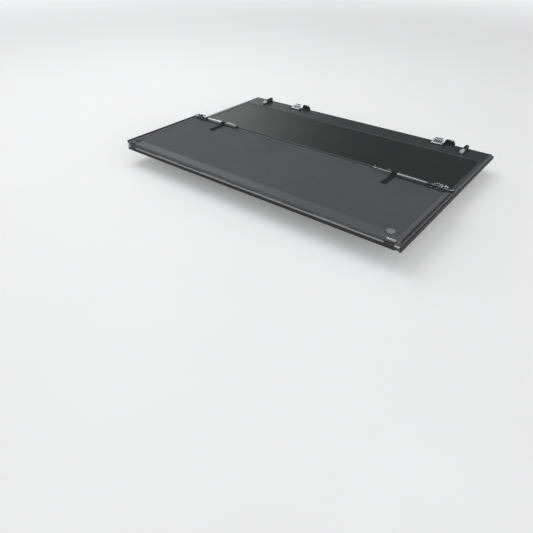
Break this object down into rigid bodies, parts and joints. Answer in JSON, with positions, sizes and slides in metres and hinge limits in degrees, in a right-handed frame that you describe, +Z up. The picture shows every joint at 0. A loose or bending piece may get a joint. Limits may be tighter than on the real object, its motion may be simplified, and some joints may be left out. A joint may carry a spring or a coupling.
{
  "type": "folding tonneau cover",
  "caption": "Hard folding pickup bed cover: framed rigid panels on full-width hinges, with side latches, pull straps, header bumpers and buckles; the rear panel is folded forward.",
  "frame": {"origin": "middle of the underside of the bulkhead seal, in the plane of the bed rails", "axes": "+X to the truck's right, +Y to the cab, +Z up; the rest pose has the rear panel folded forward onto the middle panel"},
  "size_m": [1.64, 1.1539, 0.1486],
  "materials": {
    "panel_skin": "textured satin black powder coat",
    "frame": "satin dark grey powder coat",
    "foam": "cellular core",
    "seal": "matte black extruded rubber",
    "bumper_rubber": "matte black moulded rubber",
    "cast": "satin black coated casting",
    "zinc": "zinc-plated steel",
    "steel": "bright plated steel",
    "chrome": "polished chrome",
    "webbing": "woven black webbing"
  },
  "bodies": {
    "front": {"front_panel_top_skin": "panel_skin", "front_panel_bottom_skin": "panel_skin", "front_panel_core": "foam", "header_rail": "frame", "front_hinge_rail": "frame", "front_side_rail_left": "frame", "front_side_rail_right": "frame", "front_seal": "seal", "rest_bumper_left": "bumper_rubber", "rest_bumper_right": "bumper_rubber", "front_clamp_bracket_left": "cast", "front_clamp_bracket_right": "cast", "strap_anchor_left": "cast", "strap_anchor_right": "cast"},
    "spacer": {"hinge_spacer": "frame", "spacer_hinge_rod_front": "zinc", "spacer_hinge_rod_rear": "zinc"},
    "middle": {"middle_panel_top_skin": "panel_skin", "middle_panel_core": "foam", "middle_panel_bottom_skin": "panel_skin", "middle_front_hinge_rail": "frame", "middle_rear_hinge_rail": "frame", "middle_side_rail_left": "frame", "middle_side_rail_right": "frame", "middle_seal_left": "seal", "middle_seal_right": "seal", "rear_hinge_rod": "steel", "hinge_wiper_seal": "seal"},
    "rear": {"rear_panel_top_skin": "panel_skin", "rear_panel_core": "foam", "rear_panel_bottom_skin": "panel_skin", "rear_hinge_rail": "frame", "rear_tail_rail": "frame", "rear_side_rail_left": "frame", "rear_side_rail_right": "frame", "rear_seal": "seal", "corner_knob_right": "steel", "latch_guide_left": "steel", "latch_guide_right": "steel", "latch_head_left": "cast", "latch_head_right": "cast", "latch_pin_left": "steel", "latch_pin_right": "steel", "latch_spring_left": "zinc", "latch_spring_right": "zinc"},
    "latch_rod_left": {"latch_rod_left": "zinc", "pull_strap_left": "webbing", "latch_hook_left": "steel"},
    "latch_crank_left": {"latch_crank_left": "chrome"},
    "buckle_left": {"buckle_left": "chrome"},
    "clamp_bolt_left": {"front_clamp_bolt_left": "zinc"},
    "clamp_jaw_left": {"front_clamp_jaw_left": "cast"},
    "latch_rod_right": {"latch_rod_right": "zinc", "pull_strap_right": "webbing", "latch_hook_right": "steel"},
    "latch_crank_right": {"latch_crank_right": "chrome"},
    "buckle_right": {"buckle_right": "chrome"},
    "clamp_bolt_right": {"front_clamp_bolt_right": "zinc"},
    "clamp_jaw_right": {"front_clamp_jaw_right": "cast"}
  },
  "joints": [
    {"name": "stack_fold", "type": "hinge", "parent": "front", "child": "spacer", "pos_m": [0, -0.5385, 0.0255], "axis": [-1, 0, 0], "range_deg": [0, 90]},
    {"name": "stack_tilt", "type": "hinge", "parent": "spacer", "child": "middle", "pos_m": [0, -0.5835, 0.0255], "axis": [-1, 0, 0], "range_deg": [0, 90]},
    {"name": "rear_fold", "type": "hinge", "parent": "middle", "child": "rear", "pos_m": [0, -1.137, 0.0255], "axis": [1, 0, 0], "range_deg": [0, 180]},
    {"name": "latch_slide_left", "type": "slide", "parent": "rear", "child": "latch_rod_left", "axis": [1, 0, 0], "range_m": [0, 0.012], "stiffness_N_per_m": 600, "deforming": ["latch_spring_left"]},
    {"name": "crank_turn_left", "type": "hinge", "parent": "rear", "child": "latch_crank_left", "pos_m": [-0.76, -0.604, 0.0625], "axis": [0, 0, -1], "range_deg": [0, 18]},
    {"name": "buckle_tip_left", "type": "hinge", "parent": "front", "child": "buckle_left", "pos_m": [-0.451, -0.042, 0.0282], "axis": [-1, 0, 0], "range_deg": [0, 22], "stiffness_Nm_per_rad": 1.5},
    {"name": "clamp_bolt_turn_left", "type": "hinge", "parent": "front", "child": "clamp_bolt_left", "pos_m": [-0.7, -0.06, -0.04], "axis": [0, 0, -1], "range_deg": [0, 1080]},
    {"name": "clamp_jaw_slide_left", "type": "slide", "parent": "front", "child": "clamp_jaw_left", "axis": [0, 0, -1], "range_m": [0, 0.0045]},
    {"name": "latch_slide_right", "type": "slide", "parent": "rear", "child": "latch_rod_right", "axis": [-1, 0, 0], "range_m": [0, 0.012], "stiffness_N_per_m": 600, "deforming": ["latch_spring_right"]},
    {"name": "crank_turn_right", "type": "hinge", "parent": "rear", "child": "latch_crank_right", "pos_m": [0.76, -0.604, 0.0625], "axis": [0, 0, 1], "range_deg": [0, 18]},
    {"name": "buckle_tip_right", "type": "hinge", "parent": "front", "child": "buckle_right", "pos_m": [0.517, -0.042, 0.0282], "axis": [-1, 0, 0], "range_deg": [0, 22], "stiffness_Nm_per_rad": 1.5},
    {"name": "clamp_bolt_turn_right", "type": "hinge", "parent": "front", "child": "clamp_bolt_right", "pos_m": [0.7, -0.06, -0.04], "axis": [0, 0, -1], "range_deg": [0, 1080]},
    {"name": "clamp_jaw_slide_right", "type": "slide", "parent": "front", "child": "clamp_jaw_right", "axis": [0, 0, -1], "range_m": [0, 0.0045]}
  ],
  "couplings": [
    {"joint": "stack_tilt", "follows": "stack_fold", "ratio": 1},
    {"joint": "crank_turn_left", "follows": "latch_slide_left", "rad_per_m": 26.1},
    {"joint": "clamp_bolt_turn_left", "follows": "clamp_jaw_slide_left", "rad_per_m": 4188},
    {"joint": "crank_turn_right", "follows": "latch_slide_right", "rad_per_m": 26.1},
    {"joint": "clamp_bolt_turn_right", "follows": "clamp_jaw_slide_right", "rad_per_m": 4188}
  ]
}
